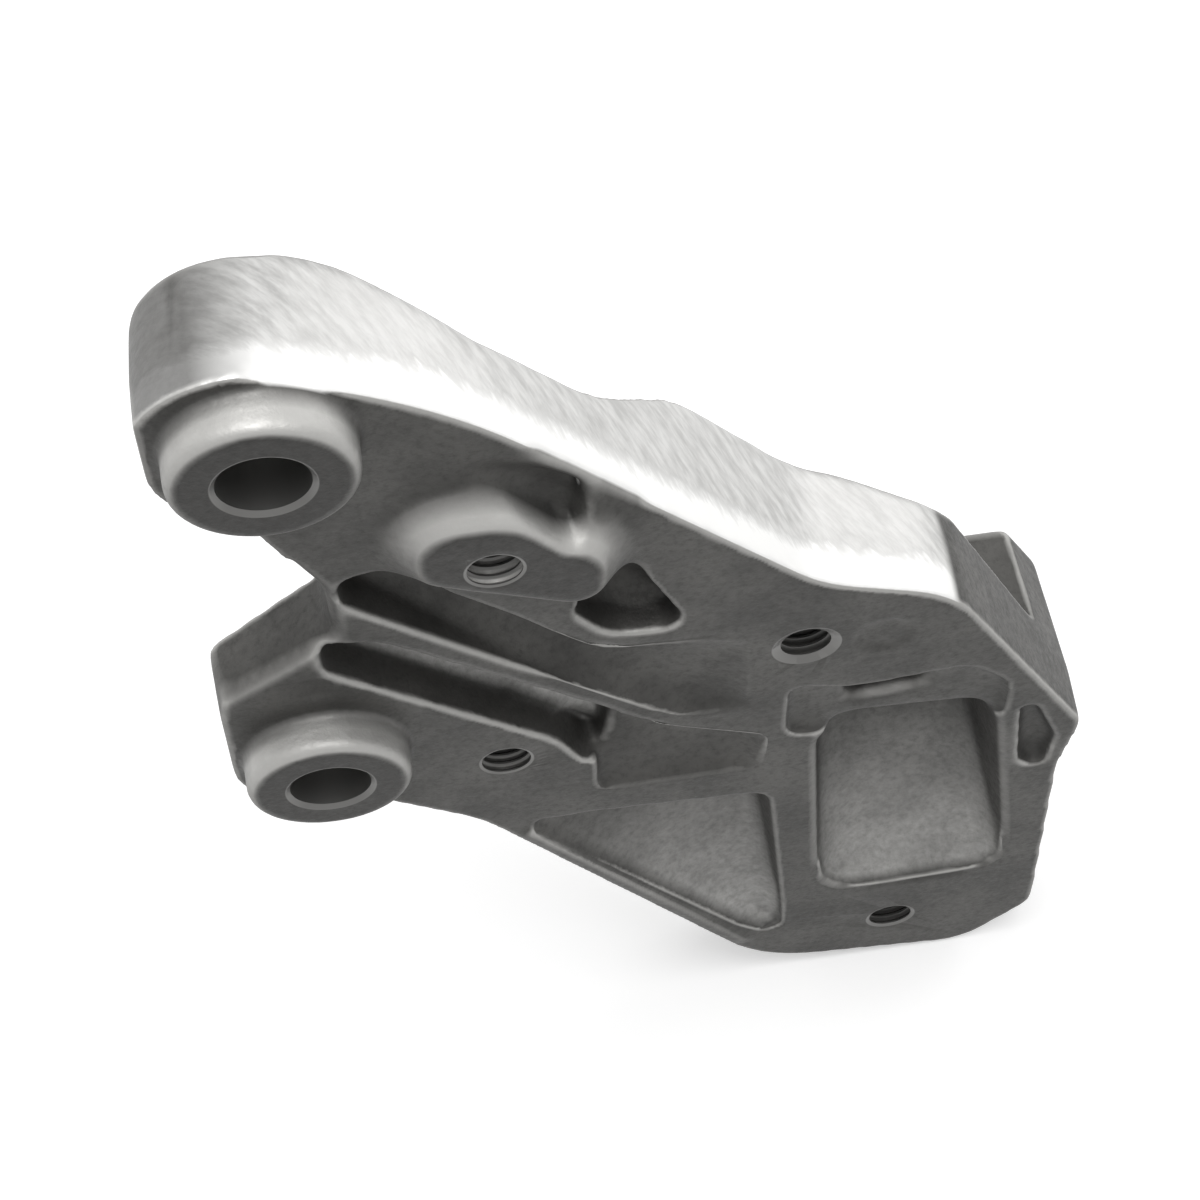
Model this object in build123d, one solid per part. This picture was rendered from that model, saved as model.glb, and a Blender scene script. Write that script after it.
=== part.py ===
# Engine mounting bracket: one aluminium casting with two bolt bosses and four tapped holes.
#
# Frame, in millimetres: the front face lies in the plane Y = 0 and looks towards -Y.
# X runs to the right and Z up along that face, and depth into the casting is +Y.
# The origin is where the axis of the upper bolt hole meets the front face.
from build123d import *
import os

# Bolt bosses at the left end, each with a plain hole right through
UPPER_BOLT = (0.0, 0.0)
LOWER_BOLT = (1.2, -72.7)
BOLT_HOLE_RADIUS = 5.25
BOLT_HOLE_CHAMFER = 0.5
BOSS_HEIGHT = 5.5
BOSS_FACE_RADIUS = 10.7
BOSS_DRAFT = 1.0
BOSS_EDGE = 0.8
BOSS_SKIRT = 0.4
BOSS_ROOT = 2.0
REAR_PAD_RADIUS = 10.0
REAR_PAD_DEPTH = 13.5

# Tapped holes, drawn at the outer diameter of the thread
THREAD_RADIUS = 4.0
THREAD_CHAMFER = 0.4
MIDDLE_TAP = (24.1, -26.4)
LOWER_TAP = (24.4, -82.9)
FLANGE_TAP = (63.7, -62.6)
FOOT_TAP = (82.9, -155.2)
TAP_BOSS_HEIGHT = 4.0
TAP_BOSS_DRAFT = 48.0

# Depths behind the front face
WEB_DEPTH = 12.0
PAD_DEPTH = 18.5
VALLEY_DEPTH = 13.2
HUMP_DEPTH = 19.8
FLANGE_DEPTH = 15.3
BLOCK_DEPTH = 27.0
FOOT_DEPTH = 13.0
THROUGH = 40.0
PARTING_DEPTH = 8.0

# The rounded end behind the upper bolt hole narrows towards the rear
LOBE_CENTRE = (-0.9, -1.3)
LOBE_RADIUS = 14.1
LOBE_DRAFT = 7.5
LOBE_LEAN = 0.42

# Ejector pin marks: x, z and radius
PIN_MARKS = [(0.9, -55.9, 2.6), (73.9, -62.6, 4.0)]
PIN_MARK_DEPTH = 0.4

# The angle of every bevel and chamfer, in degrees
BEVEL_ANGLE = 45.0

# Draft of the outer walls and of the pockets, in degrees
WALL_DRAFT = 2.0
POCKET_DRAFT = 3.0
GUSSET_DRAFT = 12.0
BOWL_DRAFT = 8.0

# Bevel round the notch, and fillets along the pockets' floors, the bowl's lip and the block's rear edges
NOTCH_BEVEL = 2.5
FLOOR_FILLET = 1.5
BOWL_FILLET = 2.5
BOWL_LIP = 1.5
REAR_FILLET = 1.5

# Every outline is a list of corners: x, z and the radius that rounds the corner
CASTING = [
    (-12.7, 18.4, 8.0), (19.4, 2.8, 70), (64.9, -47.7, 20), (82.3, -54.8, 18), (104.9, -96.2, 6),
    (103.2, -109.0, 15), (105.8, -157.4, 6), (95.8, -169.0, 8), (62.9, -164.9, 20),
    (20.4, -99.8, 28), (3.4, -86.2, 9), (-11.1, -86.2, 10.5), (-11.1, -56.2, 2.5),
    (4.6, -44.3, 6), (4.3, -33.5, 14), (-4.0, -14.2, 3.2), (-12.7, -11.5, 10),
]
NOTCH = [(-25, -68.4, 1), (5.95, -44.9, 7.3), (5.6, -33.2, 15), (1.5, -24.5, 1), (-25, -24.5, 1)]
UPPER_BAND = [(-30, 40, 5), (140, 40, 5), (140, -84, 5), (58, -84, 5), (8, -36, 30), (-30, -22, 5)]
LOWER_BLOCK = [(58, -85.8, 4), (140, -85.8, 4), (140, -190, 5), (66, -190, 5)]
TAP_BOSS = [(15.4, -17.9, 5), (27.5, -18.0, 9), (37.0, -28.5, 5), (36.2, -38.0, 3), (15.6, -27.5, 4)]
UPPER_SLOT = [
    (5.8, -30.0, 3.2), (12.5, -30.8, 8), (37.4, -55.8, 8), (58.6, -57.0, 5),
    (59.8, -80.4, 4), (47.0, -77.8, 22), (5.8, -36.6, 3.2),
]
LOWER_SLOT = [
    (2.6, -46.3, 2.6), (9.0, -45.8, 8), (39.8, -74.0, 3), (37.0, -91.5, 2), (31.5, -79.5, 14),
    (2.6, -52.4, 2.6),
]
SIDE_POCKET = [(36.4, -34.0, 2.5), (41.5, -37.0, 6), (48.6, -53.6, 2.5), (38.2, -52.8, 6), (33.8, -46.5, 2)]
LEAF_RECESS = [(20.0, -8.6, 1), (29.0, -12.0, 8), (34.8, -16.8, 1), (34.6, -27.0, 1), (27.0, -17.0, 8)]
WEB_RECESS = [(36.4, -71.6, 1), (44.3, -78.2, 20), (60.0, -86.0, 3), (60.2, -97.2, 3), (36.8, -97.2, 4)]
GUSSET_POCKET = [(24.4, -101.6, 3), (61.0, -104.2, 4), (66.4, -157.6, 3), (58.4, -150.5, 8)]
BLOCK_POCKET = [(66.8, -86.6, 5), (91.6, -88.6, 6), (99.2, -141.6, 7), (70.8, -142.6, 10)]
LEDGE = [
    (62.0, -73.2, 2), (71.0, -76.2, 12), (86.5, -74.4, 5), (92.6, -81.0, 3), (93.2, -92.0, 3),
    (62.4, -87.4, 3),
]
CORE_SLOT = [(70.4, -77.4, 1), (81.3, -76.6, 1), (81.3, -80.6, 1.2), (70.4, -81.9, 1.2)]
CORNER_HOLLOW = [
    (95.0, -87.0, 1.0), (97.8, -90.0, 3), (101.4, -99.5, 4), (101.0, -109.5, 1.5), (97.0, -106.0, 3),
]

# Depths of level pocket floors
SIDE_POCKET_DEPTH = 7.0
LEDGE_STEP = 1.5
CORE_SLOT_DEPTH = 8.0
CORNER_HOLLOW_DEPTH = 2.5

# Sloping pocket floors: (x or z, depth) at one end and at the other
UPPER_SLOT_FLOOR = [(8, 9.0), (48, 2.2)]
LEAF_RECESS_FLOOR = [(20, 0.4), (34, 2.6)]
LOWER_SLOT_FLOOR = [(4, 8.5), (38, 7.5)]
WEB_RECESS_FLOOR = [(-80, 4.0), (-97, 0.8)]
BLOCK_POCKET_FLOOR = [(-88, 19.0), (-141, 3.5)]
GUSSET_RIM_DEPTH = 2.2
GUSSET_FLOOR_SLOPE = 0.24

# Rear surfaces: (x or z, depth, radius that rounds the bend)
UPPER_BAND_DEPTHS = [
    (-40, PAD_DEPTH, 0.1), (10, PAD_DEPTH, 12), (25, VALLEY_DEPTH, 12), (38, VALLEY_DEPTH, 12),
    (49, HUMP_DEPTH, 8), (70, 18.0, 10), (79, FLANGE_DEPTH, 8), (85, FLANGE_DEPTH, 8), (97, WEB_DEPTH, 5),
    (140, WEB_DEPTH, 0.1),
]
WEB_DEPTHS = [(-40, 8.2, 0.1), (-13, 8.2, 10), (18, WEB_DEPTH, 20), (140, WEB_DEPTH, 0.1)]
BLOCK_DEPTHS = [
    (-190, FOOT_DEPTH, 0.1), (-150, FOOT_DEPTH, 15), (-98, BLOCK_DEPTH, 8), (-60, BLOCK_DEPTH, 0.1),
]

# Everything larger than the casting, for the solids that trim it
REACH = 400.0
CLEARANCE = 10.0


def front_plane(depth):
    """A drawing plane parallel to the front face, at that depth, with its normal towards the viewer."""
    return Plane(origin=(0, depth, 0), x_dir=(1, 0, 0), z_dir=(0, -1, 0))


def outline_face(corners, depth=0.0):
    """The face inside an outline of rounded corners, at that depth."""
    face = make_face(Polyline(*[(x, z) for x, z, _ in corners], close=True)).face()
    for x, z, radius in corners:
        corner = face.vertices().sort_by_distance((x, z, 0))[0]
        face = face.fillet_2d(radius, [corner])
    return front_plane(depth) * face


def prism(corners, start, end, draft=0.0):
    """An outline carried from one depth to another. A draft above 0 draws it in on the way."""
    way = 1 if end > start else -1
    return extrude(outline_face(corners, start), amount=abs(end - start), dir=(0, way, 0), taper=draft)


def disc(centre, radius, start, end, draft=0.0):
    """A round boss or hole from one depth to another."""
    way = 1 if end > start else -1
    face = front_plane(start) * Pos(*centre) * Circle(radius)
    return extrude(face, amount=abs(end - start), dir=(0, way, 0), taper=draft)


def in_front_of(point, normal):
    """All the space in front of a plane through the point, whose normal points away from the viewer."""
    side = Plane(origin=point, z_dir=normal)
    return side * Pos(0, 0, -REACH / 2) * Box(REACH, REACH, REACH)


def sloped_floor(along, first, second):
    """The space above a floor that runs from one depth to another along x or z.

    first and second are (position, depth) pairs.
    """
    run = second[0] - first[0]
    rise = second[1] - first[1]
    if along == "x":
        return in_front_of((first[0], first[1], 0), (-rise / run, 1, 0))
    return in_front_of((0, first[1], first[0]), (0, 1, -rise / run))


def depth_profile(points, across):
    """The space in front of a rear surface whose depth follows (position, depth, radius) points."""
    outer = [(points[-1][0], -REACH / 4, 0.1), (points[0][0], -REACH / 4, 0.1)]
    corners = list(points) + outer
    wire = FilletPolyline(*[(p, d) for p, d, _ in corners], radius=[r for _, _, r in corners], close=True)
    if across == "x":
        side = Plane(origin=(0, 0, -REACH / 2), x_dir=(1, 0, 0), z_dir=(0, 0, 1))
    else:
        side = Plane(origin=(REACH / 2, 0, 0), x_dir=(0, 0, 1), z_dir=(-1, 0, 0))
    return extrude(side * make_face(wire), amount=REACH)


def shallow_pocket(corners, floor, deepest, draft=POCKET_DRAFT):
    """The solid that cuts a drafted pocket down to a floor."""
    return prism(corners, 0, deepest, draft) & floor


def pocket(corners, floor, deepest, draft=POCKET_DRAFT, fillet_radius=FLOOR_FILLET):
    """A drafted pocket with a fillet round its floor."""
    cutter = shallow_pocket(corners, floor, deepest, draft)
    bottom = [face for face in cutter.faces() if face.normal_at().Y > 0.8][0]
    return fillet(bottom.edges(), fillet_radius)


def with_mouth(cutter):
    """A pocket's cutter carried straight on towards the viewer, through whatever stands there."""
    top = cutter.faces().sort_by(Axis.Y)[0]
    return cutter + extrude(top, amount=CLEARANCE, dir=(0, -1, 0))


def with_lip(cutter, radius):
    """A pocket's cutter with a flare that rounds the lip in the front face."""
    top = cutter.faces().sort_by(Axis.Y)[0]
    slab = extrude(offset(top, 3 * radius), amount=CLEARANCE, dir=(0, -1, 0))
    joined = cutter + slab
    lip = [e for e in joined.edges() if abs(e.center().Y) < 0.001 and top.distance_to(e) < 0.001]
    return fillet(lip, radius)


def level_floor(depth):
    """The space above a floor parallel to the front face."""
    return in_front_of((0, depth, 0), (0, 1, 0))


def bolt_boss(centre):
    """A drafted boss with a bevelled edge and a flared skirt, kept inside the outer walls."""
    shoulder = BOSS_EDGE - BOSS_HEIGHT
    bevel = disc(centre, BOSS_FACE_RADIUS - BOSS_EDGE, -BOSS_HEIGHT, shoulder, -BEVEL_ANGLE)
    drum = disc(centre, BOSS_FACE_RADIUS, shoulder, BOSS_ROOT, -BOSS_DRAFT)
    skirt = disc(centre, BOSS_FACE_RADIUS, -BOSS_SKIRT, BOSS_ROOT, -BEVEL_ANGLE)
    return (bevel + drum + skirt) & casting_walls()


def rear_pad():
    """The flat pad behind the lower bolt boss."""
    pad = disc(LOWER_BOLT, REAR_PAD_RADIUS, REAR_PAD_DEPTH, WEB_DEPTHS[0][1], -WALL_DRAFT)
    return pad & casting_walls()


def drilled_hole(centre, radius, chamfer_size, front):
    """A hole right through, with a chamfer at its front mouth."""
    hole = disc(centre, radius, front - 1, THROUGH)
    mouth = disc(centre, radius + chamfer_size, front, front + chamfer_size, BEVEL_ANGLE)
    return hole + mouth


def gusset_floor():
    """The space above a floor that falls away from the slanting rim of the gusset."""
    (x0, z0, _), (x1, z1, _) = GUSSET_POCKET[-1], GUSSET_POCKET[0]
    rim = Vector(x1 - x0, 0, z1 - z0).normalized()
    inward = Vector(rim.Z, 0, -rim.X)
    away = Vector(0, 1, 0) - inward * GUSSET_FLOOR_SLOPE
    return in_front_of((x0, GUSSET_RIM_DEPTH, z0), away)


def casting_walls():
    """The space inside the outer walls, which are drafted both ways from the parting line."""
    ahead = prism(CASTING, 0, -CLEARANCE, WALL_DRAFT)
    front = prism(CASTING, 0, PARTING_DEPTH, -WALL_DRAFT)
    parting = front.faces().sort_by(Axis.Y)[-1]
    rear = extrude(parting, amount=BLOCK_DEPTH, dir=(0, 1, 0), taper=WALL_DRAFT)
    return ahead + front + rear - lobe_trim()


def lobe_trim():
    """What is cut from the rounded end: everything outside a cone that narrows towards the rear."""
    x, z = LOBE_CENTRE
    side = 2 * LOBE_RADIUS
    quarter = [(x, z), (x - side, z), (x - side, z + side), (x + LOBE_LEAN * side, z + side)]
    cone = disc(LOBE_CENTRE, LOBE_RADIUS, 0, BLOCK_DEPTH, LOBE_DRAFT)
    return prism([(px, pz, 0.1) for px, pz in quarter], 0, BLOCK_DEPTH) - cone


def rounded_behind(solid):
    """The solid with the outer edges of its rear surface rounded."""
    rear = [face for face in solid.faces() if face.normal_at().Y > 0.5]
    edges = [edge for face in rear for edge in face.edges()]
    outer = [edge for edge in edges if sum(edge.is_same(other) for other in edges) == 1]
    return fillet(outer, REAR_FILLET)


def casting_blank():
    """The outer form: web, deeper upper band and rear block."""
    walls = casting_walls() - level_floor(0)
    web = walls & depth_profile(WEB_DEPTHS, "x")
    upper = walls & prism(UPPER_BAND, 0, REACH / 4) & depth_profile(UPPER_BAND_DEPTHS, "x")
    block = walls & prism(LOWER_BLOCK, 0, REACH / 4) & depth_profile(BLOCK_DEPTHS, "z")
    blank = web + upper + rounded_behind(block)
    return blank - with_mouth(prism(NOTCH, 0, NOTCH_BEVEL, BEVEL_ANGLE))


def tap_boss():
    """The drafted boss that carries the middle tapped hole."""
    return prism(TAP_BOSS, -TAP_BOSS_HEIGHT, 0.5, -TAP_BOSS_DRAFT) & casting_walls()


def open_pockets():
    """The pockets that also cut into the middle tapped hole's boss."""
    cutters = [
        pocket(UPPER_SLOT, sloped_floor("x", *UPPER_SLOT_FLOOR), WEB_DEPTH),
        pocket(SIDE_POCKET, level_floor(SIDE_POCKET_DEPTH), WEB_DEPTH),
        shallow_pocket(LEAF_RECESS, sloped_floor("x", *LEAF_RECESS_FLOOR), WEB_DEPTH / 2),
    ]
    return [with_mouth(cutter) for cutter in cutters]


def front_pockets():
    """The pockets that lie in the front face alone."""
    bowl = pocket(BLOCK_POCKET, sloped_floor("z", *BLOCK_POCKET_FLOOR), BLOCK_DEPTH, BOWL_DRAFT, BOWL_FILLET)
    cutters = [
        pocket(LOWER_SLOT, sloped_floor("x", *LOWER_SLOT_FLOOR), WEB_DEPTH),
        shallow_pocket(WEB_RECESS, sloped_floor("z", *WEB_RECESS_FLOOR), WEB_DEPTH),
        pocket(GUSSET_POCKET, gusset_floor(), WEB_DEPTH, GUSSET_DRAFT),
        shallow_pocket(LEDGE, level_floor(LEDGE_STEP), WEB_DEPTH),
        shallow_pocket(CORE_SLOT, level_floor(CORE_SLOT_DEPTH), WEB_DEPTH),
        shallow_pocket(CORNER_HOLLOW, level_floor(CORNER_HOLLOW_DEPTH), WEB_DEPTH),
    ]
    return [with_lip(bowl, BOWL_LIP)] + [with_mouth(cutter) for cutter in cutters]


def bolt_holes():
    """The two plain holes through the bolt bosses."""
    centres = (UPPER_BOLT, LOWER_BOLT)
    return [drilled_hole(centre, BOLT_HOLE_RADIUS, BOLT_HOLE_CHAMFER, -BOSS_HEIGHT) for centre in centres]


def tapped_holes():
    """The four holes that carry a thread. One starts on its own boss, the others in the front face."""
    level = [drilled_hole(c, THREAD_RADIUS, THREAD_CHAMFER, 0) for c in (LOWER_TAP, FLANGE_TAP, FOOT_TAP)]
    return level + [drilled_hole(MIDDLE_TAP, THREAD_RADIUS, THREAD_CHAMFER, -TAP_BOSS_HEIGHT)]


def pin_marks():
    """The shallow round marks that the ejector pins leave."""
    return [disc((x, z), radius, -1, PIN_MARK_DEPTH) for x, z, radius in PIN_MARKS]


def bracket_casting():
    """The whole casting, machined."""
    body = casting_blank()
    for cutter in front_pockets():
        body -= cutter
    body += tap_boss()
    for cutter in open_pockets():
        body -= cutter
    body += [bolt_boss(UPPER_BOLT), bolt_boss(LOWER_BOLT), rear_pad()]
    for cutter in bolt_holes() + tapped_holes() + pin_marks():
        body -= cutter
    return body


if __name__ == "__main__":
    os.makedirs("parts", exist_ok=True)
    export_step(bracket_casting(), "parts/bracket_casting.step")
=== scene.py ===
# %% [markdown]
# # An engine mounting bracket in cast aluminium
#
# The bracket is one die casting: a thick plate with two bolt bosses at one end, long
# slots and pockets sunk into its front, and a deep block at its foot. Its holes are
# machined after casting. This lesson dresses the measured solid with soft cast edges,
# crisp machined holes and real threads, and gives it the skin of a used casting: dull
# where the mould left it, bright where it was ground, drilled or worn. Some light and
# shade is painted into its colour too: painted highlights on upward edges, on the boss
# flanks and in a band along the top wall, painted light on the lower pocket floors, and
# painted shade in the hollows and on the boss faces.

# %% Load the frame
import math

import bmesh
import bpy
from mathutils import Matrix, Vector


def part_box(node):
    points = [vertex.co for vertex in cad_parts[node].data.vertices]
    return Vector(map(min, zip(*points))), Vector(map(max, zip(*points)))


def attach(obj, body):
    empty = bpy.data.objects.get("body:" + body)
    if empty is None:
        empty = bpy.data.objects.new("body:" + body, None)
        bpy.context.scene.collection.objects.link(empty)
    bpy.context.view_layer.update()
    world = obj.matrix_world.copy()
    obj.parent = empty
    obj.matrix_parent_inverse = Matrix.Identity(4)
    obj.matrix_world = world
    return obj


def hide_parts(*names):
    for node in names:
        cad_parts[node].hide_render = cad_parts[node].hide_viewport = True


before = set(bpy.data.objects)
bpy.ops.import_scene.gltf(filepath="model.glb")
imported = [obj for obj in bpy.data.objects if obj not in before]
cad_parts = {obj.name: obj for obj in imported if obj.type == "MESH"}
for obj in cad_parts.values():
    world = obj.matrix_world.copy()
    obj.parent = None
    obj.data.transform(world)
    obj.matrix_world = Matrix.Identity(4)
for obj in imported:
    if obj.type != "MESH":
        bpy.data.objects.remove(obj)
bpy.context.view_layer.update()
casting_low, casting_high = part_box("bracket_casting")
print("casting is", [round(1000 * side, 1) for side in casting_high - casting_low], "mm in x, y and z")

# %% [markdown]
# The two plain holes take the bolts that hold the bracket, and screws go into the four
# tapped ones. All lengths below are written in millimetres and turned into metres where
# they are used, because the sizes of screws and castings are easier to read that way. A
# place on the front is a pair of x and z, and a depth is how far it lies behind the front.

# %% Sizes of the holes
MM = 0.001
BOSS_FACE_DEPTH = -5.5
TAP_BOSS_DEPTH = -4.0
UPPER_BOLT = (0.0, 0.0)
LOWER_BOLT = (1.2, -72.7)
BOLT_HOLE_RADIUS = 5.25
BOLT_HOLE_CHAMFER = 0.55
MIDDLE_TAP = (24.1, -26.4)
LOWER_TAP = (24.4, -82.9)
FLANGE_TAP = (63.7, -62.6)
FOOT_TAP = (82.9, -155.2)
THREAD_RADIUS = 4.0
THREAD_DEPTH = 0.7
THREAD_PITCH = 1.25

# each hole: where its axis meets the front, the depths of its front and rear faces, and its mouth's radius
BOLT_HOLES = [
    (UPPER_BOLT, BOSS_FACE_DEPTH, 18.5, BOLT_HOLE_RADIUS + BOLT_HOLE_CHAMFER),
    (LOWER_BOLT, BOSS_FACE_DEPTH, 13.5, BOLT_HOLE_RADIUS + BOLT_HOLE_CHAMFER),
]
TAPPED_HOLES = [
    (MIDDLE_TAP, TAP_BOSS_DEPTH, 13.0, 3.6),
    (LOWER_TAP, 0.0, 12.0, 3.6),
    (FLANGE_TAP, 0.0, 18.0, 4.5),
    (FOOT_TAP, 0.0, 13.0, 3.8),
]
print("holes:", len(BOLT_HOLES), "plain and", len(TAPPED_HOLES), "tapped")

# %% [markdown]
# A casting has no sharp edges: every corner that the molten metal touched is rounded by
# half a millimetre or so, and every inside corner is filled a little. Rounding each edge by
# hand would take hundreds of bevels. A voxel remesh gives the whole form one even skin of
# small faces instead, and a few rounds of smoothing then soften outside and inside corners
# alike, while flat faces stay flat.
#
# The holes are filled before that, because a drill comes after the casting and leaves a
# crisp edge. They are drilled again further down. A plug ends a little short of the rear
# face, so that no burr is left there.

# %% Cast form with its holes still solid
VOXEL = 0.45
MERGE_DISTANCE = 0.0005
PLUG_SIDES = 48
PLUG_SHORT = 0.9
BOLT_PLUG_RADIUS = BOLT_HOLE_RADIUS + 1.5
TAP_PLUG_RADIUS = THREAD_RADIUS + 1.2


def plug_matrix(centre, near, far):
    """Stands a cylinder along Y in a hole, halfway between two depths."""
    place = Matrix.Translation(Vector((centre[0], (near + far) / 2, centre[1])) * MM)
    return place @ Matrix.Rotation(math.radians(90), 4, "X")


def add_plug(mesh_data, centre, near, far, radius):
    """Fills a hole with a solid cylinder."""
    bmesh.ops.create_cone(
        mesh_data,
        cap_ends=True,
        segments=PLUG_SIDES,
        radius1=radius * MM,
        radius2=radius * MM,
        depth=(far - near) * MM,
        matrix=plug_matrix(centre, near, far),
    )


def new_piece(name, mesh_data):
    """Turns mesh data into an object that sits at the origin."""
    mesh = bpy.data.meshes.new(name)
    mesh_data.to_mesh(mesh)
    mesh_data.free()
    piece = bpy.data.objects.new(name, mesh)
    bpy.context.scene.collection.objects.link(piece)
    return piece


def apply_modifiers(piece):
    """Bakes the modifiers of a piece into its mesh."""
    bpy.context.view_layer.update()
    shaped = piece.evaluated_get(bpy.context.evaluated_depsgraph_get())
    mesh = bpy.data.meshes.new_from_object(shaped)
    piece.modifiers.clear()
    piece.data = mesh


form = bmesh.new()
form.from_mesh(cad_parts["bracket_casting"].data)
bmesh.ops.remove_doubles(form, verts=form.verts, dist=MERGE_DISTANCE * MM)
for centre, near, far, _ in BOLT_HOLES:
    add_plug(form, centre, near, far - PLUG_SHORT, BOLT_PLUG_RADIUS)
for centre, near, far, _ in TAPPED_HOLES:
    add_plug(form, centre, near, far - PLUG_SHORT, TAP_PLUG_RADIUS)
casting = new_piece("casting_body", form)
remesh = casting.modifiers.new("even skin", "REMESH")
remesh.mode = "VOXEL"
remesh.voxel_size = VOXEL * MM
apply_modifiers(casting)
print("even skin:", len(casting.data.vertices), "points")

# %% [markdown]
# Many steps below need to know where a point lies in the front view: inside an outline or
# not, and how far from a line. Both are short sums, so they are written here once.

# %% Places in the front view


def share_between(low, high, value):
    """0 at low, 1 at high, and a straight line between them."""
    return min(max((value - low) / (high - low), 0.0), 1.0)


def inside_outline(x, z, corners):
    """Whether a point lies inside an outline: a ray from it crosses the outline an odd number of times."""
    odd = False
    for (x0, z0), (x1, z1) in zip(corners, corners[1:] + corners[:1]):
        if (z0 > z) != (z1 > z) and x < x0 + (z - z0) / (z1 - z0) * (x1 - x0):
            odd = not odd
    return odd


def distance_to_line(x, z, line):
    """How far a point lies from a line of corners."""
    best = math.inf
    for (x0, z0), (x1, z1) in zip(line, line[1:]):
        run, rise = x1 - x0, z1 - z0
        along = share_between(0, run * run + rise * rise, (x - x0) * run + (z - z0) * rise)
        best = min(best, math.hypot(x - x0 - along * run, z - z0 - along * rise))
    return best


print("the lower bolt hole lies %.1f mm from the upper one" % math.dist(UPPER_BOLT, LOWER_BOLT))

# %% [markdown]
# The pockets of the real casting are dished, with wide fillets between their floors and
# walls, so that the metal flows and the mould lets go. A rounded cutter for each pocket
# would do it, but smoothing alone would not, because it rounds the lips off as well. The
# skin has points everywhere by now, so it is enough to move them: a point near a pocket's
# wall may lie no deeper than a quarter circle that runs from the wall to the floor.

# %% Dish the pockets
# each dished pocket: its lip as (x, z) corners, the radius of its fillets, and its floor as the depth at
# the first corner and the depth that is added for each millimetre of x and of z
DISHED = {
    "gusset pocket": (
        [(24.4, -101.6), (61.0, -104.2), (66.4, -157.6), (58.4, -150.5)],
        5,
        (2.2, 0.197, 0.137),
    ),
    "deep pocket": (
        [(66.8, -86.6), (91.6, -88.6), (99.2, -141.6), (70.8, -142.6)],
        7,
        (19.4, 0, 0.292),
    ),
    "web recess": (
        [(25.0, -66.0), (44.3, -78.2), (60.0, -86.0), (60.2, -97.2), (25.0, -97.2)],
        5,
        (6.6, 0, 0.188),
    ),
    "upper slot": (
        [
            (5.8, -30.0), (12.5, -30.8), (37.4, -55.8), (58.6, -57.0),
            (59.8, -80.4), (47.0, -77.8), (5.8, -36.6),
        ],
        6,
        (9.4, -0.17, 0),
    ),
    "lower slot": (
        [
            (2.6, -46.3), (9.0, -45.8), (39.8, -74.0), (46.0, -80.0),
            (44.0, -92.0), (31.5, -79.5), (2.6, -52.4),
        ],
        5,
        (8.5, -0.029, 0),
    ),
    "side pocket": (
        [(36.4, -34.0), (41.5, -37.0), (48.6, -53.6), (38.2, -52.8), (33.8, -46.5)],
        5,
        (7.0, 0, 0),
    ),
}

# a point that lies further than this below a pocket's floor belongs to another wall
BELOW_FLOOR = 1.0


def fillet_rise(away, radius):
    """How far a quarter circle stands above a floor, at a distance from the wall."""
    if away >= radius:
        return 0.0
    return radius - math.sqrt(radius ** 2 - (radius - away) ** 2)


def dish(mesh_data, corners, radius, floor):
    """Gives a pocket wide fillets: no point lies deeper than the quarter circle at its place."""
    start, per_x, per_z = floor
    moved = 0
    for vert in mesh_data.verts:
        at = vert.co / MM
        if not 0 < at.y < start + radius or not inside_outline(at.x, at.z, corners):
            continue
        depth = start + per_x * (at.x - corners[0][0]) + per_z * (at.z - corners[0][1])
        away = distance_to_line(at.x, at.z, corners + corners[:1])
        limit = max(depth - fillet_rise(away, radius), 0.0)
        if limit < at.y < depth + BELOW_FLOOR:
            vert.co.y = limit * MM
            moved += 1
    return moved


skin = bmesh.new()
skin.from_mesh(casting.data)
for name, pocket in DISHED.items():
    print("dished the", name, "with", dish(skin, *pocket), "points")

# %% [markdown]
# The gusset's slanting rim is a low round bead, which stiffens the thin edge. A curve with a
# round profile could lie along it, but would then have to be joined to the casting. The
# points near the rim are lifted instead, most in the middle and less towards both sides.

# %% Bead along the gusset
GUSSET_BEAD = [(27.0, -106.0), (59.5, -155.5)]
BEAD_REACH = 1.3
BEAD_HEIGHT = 0.8


def raise_bead(mesh_data, line):
    """Raises a round bead on the front along a line, and counts the points that it lifts."""
    lifted = 0
    for vert in mesh_data.verts:
        at = vert.co / MM
        away = distance_to_line(at.x, at.z, line) / BEAD_REACH
        if away < 1 and at.y < BEAD_REACH:
            vert.co.y -= BEAD_HEIGHT * (1 - away ** 2) ** 2 * MM
            lifted += 1
    return lifted


print("the bead lifts", raise_bead(skin, GUSSET_BEAD), "points")

# %% [markdown]
# Some places of the mould were rounder than the rest, such as the pockets, and the end
# behind the upper bolt, which runs round in one sweep. They get more rounds of smoothing
# than the other corners. A place is an outline in the front view and a range of depths, and
# its smoothing fades out towards its borders, so that no seam shows there.
#
# A Smooth modifier with a vertex group for each place could do it too. Here all places are
# smoothed together, and those that need more rounds go on when the others are done, which
# takes much less time.

# %% Soften the corners
SMOOTH_ROUNDS = 8
SMOOTH_SHARE = 0.5
DEPTH_FADE = 1.5

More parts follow.
